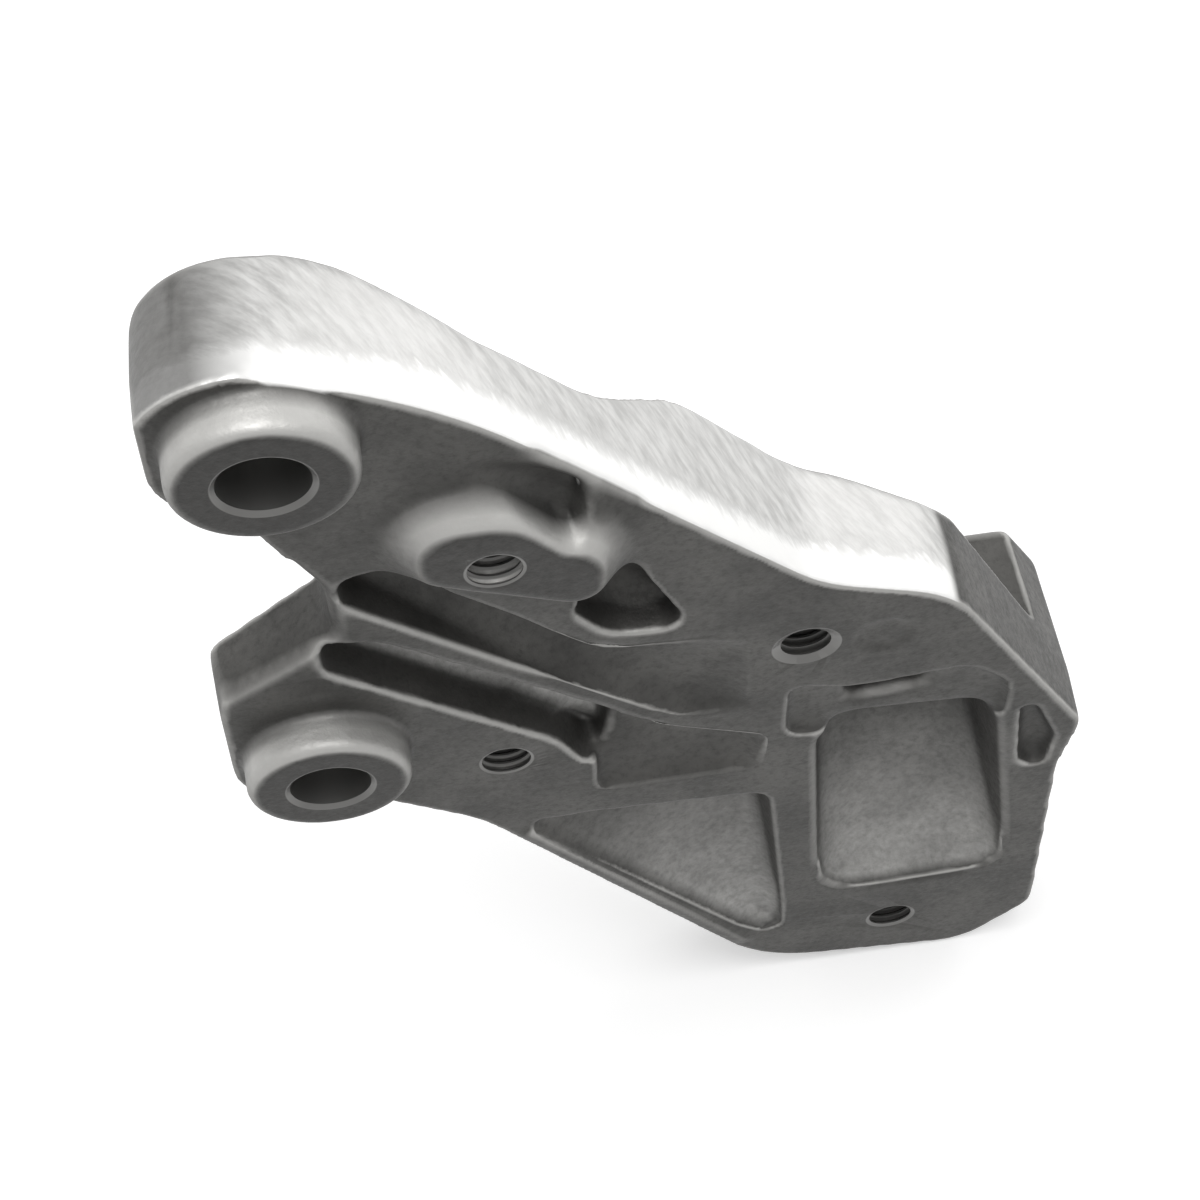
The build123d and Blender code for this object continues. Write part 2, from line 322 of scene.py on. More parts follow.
# each soft place: its outline as (x, z) corners, its depths, its rounds and the width of its fading border
SOFT_PLACES = {
    "round end": (
        [(-17, -8), (-17, 24), (12, 24), (12, -8)],
        (0.3, 24), 30, 7.0,
    ),
    "rear of the round end": (
        [(-20, 2), (-20, 26), (26, 18), (26, -8)],
        (5, 26), 50, 5.0,
    ),
    "rear of the top wall": (
        [(5, 0), (12, 14), (72, -36), (92, -50), (84, -64), (60, -58), (20, -10)],
        (9, 24), 40, 4.0,
    ),
    "gusset pocket": (
        [(22.5, -100), (62.5, -102.5), (68.3, -160), (58, -153.5)],
        (0.4, 11), 80, 0.8,
    ),
    "web recess": (
        [(35.5, -70), (45, -76.5), (61.8, -84.5), (62, -99), (35.5, -99)],
        (0.2, 9.5), 40, 0.8,
    ),
    "deep pocket": (
        [(64.8, -85), (93.2, -87), (101.2, -144), (69, -145)],
        (0.2, 23), 100, 0.8,
    ),
    "upper slot": (
        [(4.5, -28.5), (13, -29.2), (38, -54.2), (60, -55.5), (61.5, -82), (46, -79.5), (4.5, -38)],
        (0.2, 10.8), 40, 0.8,
    ),
    "lower slot": (
        [(1, -44.5), (10, -44.3), (41.5, -73.2), (38, -93.5), (30, -81), (1, -54)],
        (0.2, 10.5), 40, 0.8,
    ),
    "side pocket": (
        [(35.6, -32), (43, -35), (50.8, -55), (37.5, -54.8), (31.8, -46)],
        (0.2, 9), 40, 0.8,
    ),
    "leaf recess": (
        [(16, -5.5), (29, -10.3), (36, -18.2), (37, -31), (26, -20)],
        (-3.8, 5), 60, 1.5,
    ),
    "tap boss": (
        [(9, -8), (43, -8), (43, -44), (9, -34)],
        (-3.8, 2), 40, 1.5,
    ),
    "end of the leaf recess": (
        [(31, -19), (38.5, -22), (41, -33), (33, -33)],
        (-3.8, 4.5), 160, 1.5,
    ),
    "edge of the notch": (
        [(-14, -61), (-14, -53), (2, -40.5), (9, -40), (5, -48), (-8, -61)],
        (-1, 6), 40, 1.0,
    ),
    "ledge": (
        [(60, -71), (89, -71.5), (96, -79), (95.5, -94), (60, -90)],
        (0.2, 6), 40, 0.8,
    ),
    "corner hollow": (
        [(93.5, -84), (98.5, -87.5), (102.9, -98), (102.6, -111), (95, -108)],
        (0.2, 4), 40, 0.8,
    ),
}


def smooth(mesh_data, points, rounds):
    """Moves each point towards the middle of its neighbours."""
    for _ in range(rounds):
        bmesh.ops.smooth_vert(
            mesh_data, verts=points, factor=SMOOTH_SHARE, use_axis_x=True, use_axis_y=True, use_axis_z=True
        )


def soften(mesh_data, places):
    """Smooths the points of soft places, less and less towards the borders of a place."""
    rounds_at = [0] * len(mesh_data.verts)
    share_at = [0.0] * len(mesh_data.verts)
    before = [vert.co.copy() for vert in mesh_data.verts]
    for corners, (near, far), rounds, fade in places:
        for i, old in enumerate(before):
            x, y, z = old / MM
            if near < y < far and inside_outline(x, z, corners):
                share = share_between(0, fade, distance_to_line(x, z, corners + corners[:1]))
                share *= share_between(0, DEPTH_FADE, min(y - near, far - y))
                rounds_at[i] = max(rounds_at[i], rounds)
                share_at[i] = max(share_at[i], share)
    done = 0
    for rounds in sorted(set(rounds_at) - {0}):
        points = [vert for vert in mesh_data.verts if rounds_at[vert.index] >= rounds]
        smooth(mesh_data, points, rounds - done)
        done = rounds
    for vert, old, share in zip(mesh_data.verts, before, share_at):
        if share:
            vert.co = old.lerp(vert.co, share)
    return len(before) - rounds_at.count(0)


print("softened", soften(skin, SOFT_PLACES.values()), "points in", len(SOFT_PLACES), "places")
smooth(skin, skin.verts, SMOOTH_ROUNDS)
skin.to_mesh(casting.data)
skin.free()

# %% [markdown]
# Flat walls need fewer faces than round corners, so the skin is thinned where nothing is
# lost. Larger voxels would save faces too, but would lose the small corners. The Decimate
# modifier's collapse takes the flattest and smallest faces first. The even skin's faces have
# four corners, so each of them counts as two triangles.

# %% Thin the skin
KEPT_TRIANGLES = 160000

thinner = casting.modifiers.new("thinner", "DECIMATE")
thinner.ratio = KEPT_TRIANGLES / (2 * len(casting.data.polygons))
apply_modifiers(casting)
print("thinned skin:", len(casting.data.polygons), "faces")

# %% [markdown]
# A drill and a tap cut the real holes. A bump texture could draw a thread, but these mouths
# are seen at a slant, where only real grooves look right. So each cutter here is a turned
# shape: a profile is drawn beside the hole's axis and spun round it. The bolt holes get a
# small chamfer at the mouth. For a thread the profile is a row of V-shaped grooves, one
# every 1.25 mm, which is what an 8 mm screw has. They are rings and not a helix, which
# looks the same in a hole this small and cuts cleanly.

# %% Drill and tap shapes
SPIN_STEPS = 64
OVERRUN = 3.0
CHAMFER_SLOPE = 0.5
THREAD_CREST = THREAD_RADIUS - THREAD_DEPTH

# one groove of the thread: how far along the pitch a corner lies, and its radius
THREAD_GROOVE = [(0.15, THREAD_CREST), (0.5, THREAD_RADIUS), (0.6, THREAD_RADIUS), (0.95, THREAD_CREST)]


def turned_cutter(mesh_data, centre, profile):
    """Spins a profile of (radius, depth) points round the hole's axis."""
    axis_point = Vector((centre[0], 0, centre[1])) * MM
    points = [mesh_data.verts.new(axis_point + Vector((r, y, 0)) * MM) for r, y in profile]
    edges = [mesh_data.edges.new(pair) for pair in zip(points, points[1:])]
    bmesh.ops.spin(
        mesh_data,
        geom=points + edges,
        cent=axis_point,
        axis=(0, 1, 0),
        angle=math.tau,
        steps=SPIN_STEPS,
        use_merge=True,
    )


def mouth_profile(near, mouth):
    """The cutter in front of the face: it widens away from the mouth, so that the chamfer runs out."""
    return [(0, near - OVERRUN), (mouth + OVERRUN, near - OVERRUN), (mouth, near)]


def bolt_profile(near, far, mouth):
    """A plain hole with a chamfered mouth."""
    return mouth_profile(near, mouth) + [
        (BOLT_HOLE_RADIUS, near + BOLT_HOLE_CHAMFER),
        (BOLT_HOLE_RADIUS, far + OVERRUN),
        (0, far + OVERRUN),
    ]


def thread_profile(near, far, mouth):
    """A tapped hole: a chamfered mouth and then one V groove for each turn of the thread."""
    depth = near + (mouth - THREAD_CREST) * CHAMFER_SLOPE
    profile = mouth_profile(near, mouth) + [(THREAD_CREST, depth)]
    while depth < far + OVERRUN - THREAD_PITCH:
        profile += [(radius, depth + THREAD_PITCH * along) for along, radius in THREAD_GROOVE]
        depth += THREAD_PITCH
    return profile + [(THREAD_CREST, far + OVERRUN), (0, far + OVERRUN)]


print("a thread's profile has", len(thread_profile(*TAPPED_HOLES[0][1:])), "corners")

# %% [markdown]
# All cutters are one mesh, so that one Boolean modifier cuts every hole. Its Manifold solver
# is quick and exact, and needs closed shapes, so the spun ends are merged first.

# %% Cut the holes
tools = bmesh.new()
for centre, near, far, mouth in BOLT_HOLES:
    turned_cutter(tools, centre, bolt_profile(near, far, mouth))
for centre, near, far, mouth in TAPPED_HOLES:
    turned_cutter(tools, centre, thread_profile(near, far, mouth))
bmesh.ops.remove_doubles(tools, verts=tools.verts, dist=MERGE_DISTANCE * MM)
bmesh.ops.recalc_face_normals(tools, faces=tools.faces)
cutter = new_piece("drills_and_taps", tools)
drill = casting.modifiers.new("drill", "BOOLEAN")
drill.operation = "DIFFERENCE"
drill.solver = "MANIFOLD"
drill.object = cutter
apply_modifiers(casting)
bpy.data.objects.remove(cutter)
triangles = sum(len(face.vertices) - 2 for face in casting.data.polygons)
print("drilled casting:", triangles, "triangles")

# %% [markdown]
# Handling polishes a casting where it sticks out, and its corners are painted darker, as
# painted shade. Both follow how the surface bends. The Geometry node has a Pointiness value
# for that, but it changes with the size of the faces, and these faces are small in corners
# and large on flat walls. So the bend is measured on the mesh, in angle for each millimetre:
# the angles at a point's edges, each times the edge's length, divided by the area round the
# point.

# %% How the surface bends
BEND_ROUNDS = 2
LEAST_AREA = 1e-6

# an edge's turn is shared by its two points, and counts half there, as it bends the surface one way only
EDGE_SHARE = 0.25


def bends_of(mesh_data):
    """How much the surface turns at each point, above zero on ridges and below it in hollows."""
    turns = [0.0] * len(mesh_data.verts)
    areas = [0.0] * len(mesh_data.verts)
    for edge in mesh_data.edges:
        turn = edge.calc_face_angle_signed(0.0) * edge.calc_length() / MM * EDGE_SHARE
        for vert in edge.verts:
            turns[vert.index] += turn
    for face in mesh_data.faces:
        share = face.calc_area() / MM ** 2 / len(face.verts)
        for vert in face.verts:
            areas[vert.index] += share
    around = [[edge.other_vert(vert).index for edge in vert.link_edges] for vert in mesh_data.verts]
    for _ in range(BEND_ROUNDS):
        turns = [turns[i] + sum(turns[j] for j in near) for i, near in enumerate(around)]
        areas = [areas[i] + sum(areas[j] for j in near) for i, near in enumerate(around)]
    return [turn / max(area, LEAST_AREA) for turn, area in zip(turns, areas)]


surface = bmesh.new()
surface.from_mesh(casting.data)
bends = bends_of(surface)
print("the surface bends between %.1f and %.1f radians per mm" % (min(bends), max(bends)))

# %% [markdown]
# Two values are kept on the mesh, where the material can read them. Bend is one half where
# the surface is flat, more on ridges and less in hollows. Top is 1 along the top wall, which
# was ground after casting, and little on the rounded end.
#
# Cast metal shades smoothly everywhere. Only the edges that a drill left, in the mouths and
# the threads, stay crisp.

# %% Keep bend and top on the mesh
FLAT_BEND = 0.5
BEND_GAIN_MM = 0.9
TOP_WALL = [(-13.5, 2.0), (-12.5, 14.0), (-8.0, 16.0), (19.4, 2.8), (64.9, -47.7), (78.5, -53.3)]
TOP_WALL_REACH = 5.0
TOP_WALL_FADE = 1.5
ROUND_END = (-6.0, 1.5)
ROUND_END_SHARE = 0.2
CRISP_ANGLE = 35
CRISP_REACH = 0.3
HOLE_OVERSHOOT = 1.0


def top_share(place):
    """How much of the ground wall's finish a point gets, and little of it on the rounded end."""
    away = distance_to_line(place.x, place.z, TOP_WALL) - TOP_WALL_REACH
    past_round_end = ROUND_END_SHARE + (1 - ROUND_END_SHARE) * share_between(*ROUND_END, place.x)
    return share_between(TOP_WALL_FADE, 0, away) * past_round_end


def in_a_hole(place):
    """Whether a point lies on the wall or the chamfer of a hole."""
    for (x, z), near, far, mouth in BOLT_HOLES + TAPPED_HOLES:
        within = near - HOLE_OVERSHOOT < place.y < far + HOLE_OVERSHOOT
        if within and math.hypot(place.x - x, place.z - z) < mouth + CRISP_REACH:
            return True
    return False


def shade(mesh_data, drilled):
    """Shades every face smooth, but keeps the steep edges between drilled points crisp."""
    for face in mesh_data.faces:
        face.smooth = True
    for edge in mesh_data.edges:
        steep = len(edge.link_faces) == 2 and edge.calc_face_angle(0) > math.radians(CRISP_ANGLE)
        edge.smooth = not (steep and all(drilled[vert.index] for vert in edge.verts))


places = [vert.co / MM for vert in surface.verts]
shade(surface, [in_a_hole(place) for place in places])
surface.to_mesh(casting.data)
surface.free()
kept_values = {
    "bend": [share_between(0, 1, FLAT_BEND + BEND_GAIN_MM * bend) for bend in bends],
    "top": [top_share(place) for place in places],
}
for name, values in kept_values.items():
    casting.data.attributes.new(name, "FLOAT", "POINT").data.foreach_set("value", values)
    print(name, "averages %.3f" % (sum(values) / len(values)))

# %% [markdown]
# The material is built from nodes. A few short functions place the ones that come back most
# often, so that the cells below read like a recipe.

# %% Node helpers


def link(tree, source, target):
    """Joins two sockets."""
    tree.links.new(source, target)


def noise_node(tree, vector, size_mm, detail, roughness):
    """A noise whose lumps are about that size."""
    node = tree.nodes.new("ShaderNodeTexNoise")
    node.inputs["Scale"].default_value = 1.0 / (size_mm * MM)
    node.inputs["Detail"].default_value = detail
    node.inputs["Roughness"].default_value = roughness
    link(tree, vector, node.inputs["Vector"])
    return node.outputs["Fac"]


def math_node(tree, operation, first, second=0.0):
    """A math node whose inputs are sockets or plain numbers."""
    node = tree.nodes.new("ShaderNodeMath")
    node.operation = operation
    for socket, value in zip(node.inputs, (first, second)):
        if isinstance(value, (int, float)):
            socket.default_value = value
        else:
            link(tree, value, socket)
    return node.outputs["Value"]


def product(tree, first, *others):
    """Multiplies any number of masks."""
    for other in others:
        first = math_node(tree, "MULTIPLY", first, other)
    return first


def vector_node(tree, operation, first, second):
    """A vector math node between a socket and a plain vector."""
    node = tree.nodes.new("ShaderNodeVectorMath")
    node.operation = operation
    link(tree, first, node.inputs[0])
    node.inputs[1].default_value = second
    return node.outputs["Value" if operation == "DISTANCE" else "Vector"]


def map_range(tree, value, low, high, to_low=0.0, to_high=1.0):
    """Stretches one range of values onto another, and goes no further than its ends."""
    node = tree.nodes.new("ShaderNodeMapRange")
    node.inputs["From Min"].default_value = low
    node.inputs["From Max"].default_value = high
    node.inputs["To Min"].default_value = to_low
    node.inputs["To Max"].default_value = to_high
    link(tree, value, node.inputs["Value"])
    return node.outputs["Result"]


def is_number(value):
    """Whether a plain value or a socket holds one number, and not a colour."""
    if isinstance(value, (int, float)):
        return True
    return not isinstance(value, tuple) and value.type == "VALUE"


def mix(tree, share, first, second):
    """Blends two colours or two numbers, each a socket or a plain value."""
    kind = "VALUE" if is_number(first) and is_number(second) else "RGBA"
    node = tree.nodes.new("ShaderNodeMix")
    node.data_type = "FLOAT" if kind == "VALUE" else "RGBA"
    for name, value in (("A", first), ("B", second)):
        socket = [s for s in node.inputs if s.name == name and s.type == kind][0]
        if isinstance(value, (int, float, tuple)):
            socket.default_value = value
        else:
            link(tree, value, socket)
    link(tree, share, node.inputs["Factor"])
    return [s for s in node.outputs if s.type == kind][0]


print("node helpers for noise, sums, ranges and blends")

# %% [markdown]
# The skin of a die casting is a fine grain, like very fine sandpaper, over broad cloudy
# patches where the metal chilled at different speeds. A picture of such a skin would repeat
# and need an unwrapped mesh. Noise does neither, so the grain is several sizes of it, built
# once as a node group. The strokes of the grinding belt are another group: a noise that is
# stretched along the strokes, which cross the top wall at a slant. A third group tells how
# far a point lies outside the nearest hole, because drilled metal is bright.

# %% Cast skin, grinding strokes and holes as node groups
# each noise: the size of its lumps in millimetres, its detail and its roughness
FINE_GRAIN = (0.5, 3.0, 0.6)
COARSE_GRAIN = (2.6, 2.0, 0.5)
CLOUDS = (14.0, 4.0, 0.6)
SPECKLES = (1.1, 4.0, 0.7)
COARSE_SHARE = 1.4

# the streaks are stretched to the size of a stroke first, so here their lumps are one unit, or 1000 mm
STREAKS = (1000.0, 3.0, 0.65)
STROKE_ALONG = Vector((0.465, -0.78, -0.41))
WALL_NORMAL = Vector((0.66, 0.0, 0.75))
STROKE_SIZE = (4.0, 1.1, 4.0)
FAR_AWAY_MM = 1000.0


def add_socket(group, name, direction, kind):
    """Adds a named input or output to a node group."""
    group.interface.new_socket(name=name, in_out=direction, socket_type=kind)


def new_group(name, outputs):
    """Starts a node group that takes a position and puts out numbers."""
    group = bpy.data.node_groups.new(name, "ShaderNodeTree")
    add_socket(group, "Position", "INPUT", "NodeSocketVector")
    for output in outputs:
        add_socket(group, output, "OUTPUT", "NodeSocketFloat")
    position = group.nodes.new("NodeGroupInput").outputs["Position"]
    return group, position, group.nodes.new("NodeGroupOutput")


def cast_skin_group():
    """Grain height, cloudy tone and speckles of a cast surface."""
    group, position, out = new_group("cast skin", ("Height", "Cloud", "Speckle"))
    fine = noise_node(group, position, *FINE_GRAIN)
    coarse = math_node(group, "MULTIPLY", noise_node(group, position, *COARSE_GRAIN), COARSE_SHARE)
    link(group, math_node(group, "ADD", fine, coarse), out.inputs["Height"])
    link(group, noise_node(group, position, *CLOUDS), out.inputs["Cloud"])
    link(group, noise_node(group, position, *SPECKLES), out.inputs["Speckle"])
    return group


def grinding_group():
    """Streaks that run along the strokes of a grinding belt."""
    group, position, out = new_group("grinding strokes", ("Streak",))
    turned = group.nodes.new("ShaderNodeMapping")
    turned.vector_type = "TEXTURE"
    across = WALL_NORMAL.cross(STROKE_ALONG).normalized()
    axes = Matrix((STROKE_ALONG.normalized(), across, WALL_NORMAL.normalized())).transposed()
    turned.inputs["Rotation"].default_value = axes.to_euler("XYZ")
    turned.inputs["Scale"].default_value = Vector(STROKE_SIZE) * MM
    link(group, position, turned.inputs["Vector"])
    link(group, noise_node(group, turned.outputs["Vector"], *STREAKS), out.inputs["Streak"])
    return group


def hole_group():
    """How far a point lies outside the nearest hole's mouth, in millimetres."""
    group, position, out = new_group("hole distance", ("Distance",))
    flat = vector_node(group, "MULTIPLY", position, (1 / MM, 0, 1 / MM))
    nearest = FAR_AWAY_MM
    for (x, z), _, _, mouth in BOLT_HOLES + TAPPED_HOLES:
        away = vector_node(group, "DISTANCE", flat, (x, 0, z))
        nearest = math_node(group, "MINIMUM", math_node(group, "SUBTRACT", away, mouth), nearest)
    link(group, nearest, out.inputs["Distance"])
    return group


cast_skin = cast_skin_group()
grinding = grinding_group()
holes = hole_group()
print("node groups:", ", ".join(group.name for group in (cast_skin, grinding, holes)))

# %% [markdown]
# Every mask below starts from the same few readings: where the point lies, which way its
# face looks, and what the groups and the mesh say about it. They are taken once and kept
# under plain names, with all lengths in millimetres.

# %% Read the surface


def group_node(tree, group, position):
    """Places a node group and gives it the position."""
    node = tree.nodes.new("ShaderNodeGroup")
    node.node_tree = group
    link(tree, position, node.inputs["Position"])
    return node


def attribute(tree, name):
    """Reads a value that the mesh keeps."""
    node = tree.nodes.new("ShaderNodeAttribute")
    node.attribute_name = name
    return node.outputs["Fac"]


def part_of(tree, vector, axis):
    """One number of a vector."""
    node = tree.nodes.new("ShaderNodeSeparateXYZ")
    link(tree, vector, node.inputs["Vector"])
    return node.outputs[axis]


def readings(tree):
    """What the masks are made from, by name."""
    place = tree.nodes.new("ShaderNodeTexCoord").outputs["Object"]
    normal = tree.nodes.new("ShaderNodeNewGeometry").outputs["Normal"]
    grain = group_node(tree, cast_skin, place)
    return {
        "across": math_node(tree, "MULTIPLY", part_of(tree, place, "X"), 1 / MM),
        "depth": math_node(tree, "MULTIPLY", part_of(tree, place, "Y"), 1 / MM),
        "height": math_node(tree, "MULTIPLY", part_of(tree, place, "Z"), 1 / MM),
        "facing": part_of(tree, normal, "Y"),
        "lean": math_node(tree, "ABSOLUTE", part_of(tree, normal, "Y")),
        "rising": part_of(tree, normal, "Z"),
        "grain": grain.outputs["Height"],
        "cloud": grain.outputs["Cloud"],
        "speckle": grain.outputs["Speckle"],
        "streak": group_node(tree, grinding, place).outputs["Streak"],
        "hole": group_node(tree, holes, place).outputs["Distance"],
        "bend": attribute(tree, "bend"),
        "top": attribute(tree, "top"),
    }


print("the masks read position, direction, grain, streaks, holes, bend and top")

# %% [markdown]
# A mask is a number that is 1 where a finish shows and 0 where it doesn't. Painting masks by
# hand would tie them to one mesh. These follow the form instead. Handling wears the rounded
# edges pale, and where they face up they are painted paler still, as a painted highlight. The
# flanks of the bosses are painted pale where they face up, as a painted highlight, and the
# flat faces of the bosses are painted dark, as painted shade. The floors of the lower pockets
# and of the lower slot are painted paler than the rest of the skin, as painted light.
#
# Each pair of numbers is the two readings between which a mask goes from 0 to 1. Where its
# name ends in shares, it is the two values that the mask takes instead of 0 and 1.

# %% Masks of the cast skin
# the boss flanks are painted pale, most where they face up: a painted highlight
BOSS_FLANK_DEPTHS = (0.0, -2.5)
BOSS_FLANK_LEAN = (0.98, 0.85)
BOSS_FLANK_RISE = (-0.1, 0.5)
BOSS_FLANK_SHARES = (0.15, 1.0)
# the flat faces of the bosses are painted darker: painted shade
BOSS_FACE_DEPTHS = (-3.5, -3.9)
BOSS_FACE_LEAN = (0.93, 0.98)
BOSS_FACE_SHADE = 0.8
# the rounded edges are worn pale, and painted paler where they face up: a painted highlight
RIDGE_BEND = (0.58, 0.88)
RIDGE_RISE = (-0.2, 0.4)
RIDGE_SHARES = (0.1, 0.9)
RIDGE_FROM_HOLE = (0.3, 1.3)
# hollows are painted darker: painted shade
HOLLOW_BEND = (0.40, 0.1)
HOLLOW_SHADE = 0.7
# the floors of the lower pockets and of the lower slot are painted pale: painted light
PALE_DEPTHS = (0.3, 1.6)
PALE_HEIGHTS = (-104.0, -147.0)
PALE_FACING = (-0.35, -0.6)
PALE_CLOUD = (0.3, 0.65)
PALE_CLOUD_SHARES = (0.6, 1.0)
PALE_SPECKLE = (0.35, 0.7)
PALE_SPECKLE_SHARES = (1.0, 0.7)
SLOT_SLANT = 0.92
SLOT_LINE = (-35.2, -36.6)
SLOT_END = (44.0, 41.0)
SLOT_FLOOR = (5.0, 6.5)


def boss_flank_highlight_mask(tree, at):
    """The flanks of the bosses, painted pale as a painted highlight, most where they face up."""
    raised = map_range(tree, at["depth"], *BOSS_FLANK_DEPTHS)
    sloping = map_range(tree, at["lean"], *BOSS_FLANK_LEAN)
    lit_from_above = map_range(tree, at["rising"], *BOSS_FLANK_RISE, *BOSS_FLANK_SHARES)
    return product(tree, raised, sloping, lit_from_above)


def boss_face_shade_mask(tree, at):
    """The flat faces of the bosses, painted darker as painted shade."""
    raised = map_range(tree, at["depth"], *BOSS_FACE_DEPTHS)
    flat = map_range(tree, at["lean"], *BOSS_FACE_LEAN, 0.0, BOSS_FACE_SHADE)
    return product(tree, raised, flat)


def worn_and_highlit_ridge_mask(tree, at):
    """The rounded edges, worn pale and painted paler where they face up as a painted highlight, but not
    the mouths of the holes.
    """
    bent = map_range(tree, at["bend"], *RIDGE_BEND)
    lit_from_above = map_range(tree, at["rising"], *RIDGE_RISE, *RIDGE_SHARES)
    clear = map_range(tree, at["hole"], *RIDGE_FROM_HOLE)
    return product(tree, bent, lit_from_above, clear)


def painted_light_floor_mask(tree, at):
    """The floors of the lower pockets and of the lower slot, painted pale as painted light, uneven like
    the skin round them.
    """
    sunk = map_range(tree, at["depth"], *PALE_DEPTHS)
    low = map_range(tree, at["height"], *PALE_HEIGHTS)
    slant = math_node(tree, "ADD", at["height"], math_node(tree, "MULTIPLY", at["across"], SLOT_SLANT))
    below_line = map_range(tree, slant, *SLOT_LINE)
    before_end = map_range(tree, at["across"], *SLOT_END)
    slot = product(tree, map_range(tree, at["depth"], *SLOT_FLOOR), below_line, before_end)
    floors = math_node(tree, "MAXIMUM", product(tree, sunk, low), slot)
    facing = map_range(tree, at["facing"], *PALE_FACING)
    cloudy = map_range(tree, at["cloud"], *PALE_CLOUD, *PALE_CLOUD_SHARES)
    speckled = map_range(tree, at["speckle"], *PALE_SPECKLE, *PALE_SPECKLE_SHARES)
    return product(tree, floors, facing, cloudy, speckled)


print("masks of the cast skin: boss flanks, boss faces, ridges and pale floors")

# %% [markdown]
# The colours are laid over each other like coats, from the dull skin up to the worn metal and
# the painted highlights. Dirt is a darker coat in the speckles, and the same dark coat is painted
# shade in the hollows and on the boss faces.

# %% Colour of the cast skin
DULL_GREY = (0.050, 0.049, 0.046, 1.0)
CLOUD_GREY = (0.088, 0.086, 0.081, 1.0)
# painted light on the floors of the lower pockets and of the lower slot
PAINTED_LIGHT_GREY = (0.42, 0.416, 0.403, 1.0)
# worn edges, with a painted highlight where they face up
WORN_AND_HIGHLIGHT_GREY = (0.42, 0.415, 0.40, 1.0)
# painted highlight on the upper flanks of the bosses
FLANK_HIGHLIGHT_GREY = (0.46, 0.455, 0.44, 1.0)
# dark specks of dirt, and painted shade in the hollows and on the boss faces
SOOT_AND_SHADE_GREY = (0.038, 0.037, 0.035, 1.0)
CLOUD_RANGE = (0.36, 0.64)
SPECK_RANGE = (0.5, 0.75)
SPECK_DIRT = 0.5


def skin_colour(tree, at):
    """Cloudy dull grey with specks, floors in painted light, hollows and boss faces in painted shade, worn
    edges with painted highlights, and boss flanks in painted highlight.
    """
    clouded = map_range(tree, at["cloud"], *CLOUD_RANGE)
    specks = map_range(tree, at["speckle"], *SPECK_RANGE, 0.0, SPECK_DIRT)
    hollow = map_range(tree, at["bend"], *HOLLOW_BEND, 0.0, HOLLOW_SHADE)
    painted_shade = math_node(tree, "MAXIMUM", hollow, boss_face_shade_mask(tree, at))
    colour = mix(tree, clouded, DULL_GREY, CLOUD_GREY)
    colour = mix(tree, specks, colour, SOOT_AND_SHADE_GREY)
    colour = mix(tree, painted_light_floor_mask(tree, at), colour, PAINTED_LIGHT_GREY)
    colour = mix(tree, painted_shade, colour, SOOT_AND_SHADE_GREY)
    colour = mix(tree, worn_and_highlit_ridge_mask(tree, at), colour, WORN_AND_HIGHLIGHT_GREY)
    return mix(tree, boss_flank_highlight_mask(tree, at), colour, FLANK_HIGHLIGHT_GREY)


print("the dull skin reflects %.0f%% of the light" % (100 * DULL_GREY[0]))

# %% [markdown]
# A belt has ground the top wall bright. Its strokes are pale and dark lines, and along the
# front they run together into one painted highlight band with a ragged edge. Grinding touches
# only the side walls, so the front face next to them stays dull.

# %% Ground wall
STROKE_DARK = (0.46, 0.457, 0.447, 1.0)
STROKE_PALE = (0.64, 0.637, 0.625, 1.0)
# painted highlight: the band along the front of the top wall
HIGHLIGHT_BAND_GREY = (0.86, 0.857, 0.845, 1.0)
GROUND_LEAN = (0.62, 0.42)
GROUND_DEPTHS = (-0.2, 0.3)
STREAK_RANGE = (0.35, 0.65)
STREAK_MIDDLE = 0.5
# the painted highlight band: the depths where it ends, and how ragged its edge is
HIGHLIGHT_BAND_DEPTHS = (5.8, 3.8)
HIGHLIGHT_BAND_RAGGEDNESS = 6.0


def ground_mask(tree, at):
    """The side walls along the top, from just behind the front face."""
    side = map_range(tree, at["lean"], *GROUND_LEAN)
    behind = map_range(tree, at["depth"], *GROUND_DEPTHS)
    return product(tree, at["top"], side, behind)


def wall_strokes_and_highlight(tree, at):
    """Strokes of two greys, and a painted highlight band along the front."""
    strokes = map_range(tree, at["streak"], *STREAK_RANGE)
    off_middle = math_node(tree, "SUBTRACT", at["streak"], STREAK_MIDDLE)
    ragged = math_node(tree, "MULTIPLY", off_middle, HIGHLIGHT_BAND_RAGGEDNESS)
    band = map_range(tree, math_node(tree, "ADD", at["depth"], ragged), *HIGHLIGHT_BAND_DEPTHS)
    return mix(tree, band, mix(tree, strokes, STROKE_DARK, STROKE_PALE), HIGHLIGHT_BAND_GREY)


print("the bright band ends about %.1f mm behind the front" % (sum(HIGHLIGHT_BAND_DEPTHS) / 2))

# %% [markdown]
# The metal is aluminium everywhere, so one material covers the whole casting and the masks
# choose the finish. Separate materials for the skin, the wall and the holes would meet in
# hard lines along the faces. The grain and the strokes also stand out a little, by a bump,
# because their relief is far finer than the mesh.

# %% Cast aluminium
DRILLED_GREY = (0.17, 0.168, 0.162, 1.0)
DRILLED_REACH = (0.15, 0.0)
DRILLED_ROUGHNESS = 0.36
DRILLED_HEIGHT = 0.5
SPECKLE_RANGE = (0.3, 0.7)
SKIN_ROUGHNESS = (0.46, 0.62)
GROUND_ROUGHNESS = (0.34, 0.50)
METAL_SHARE = 0.6
STROKE_RELIEF = 0.35
BUMP_STRENGTH = 0.5
BUMP_DISTANCE = 0.1


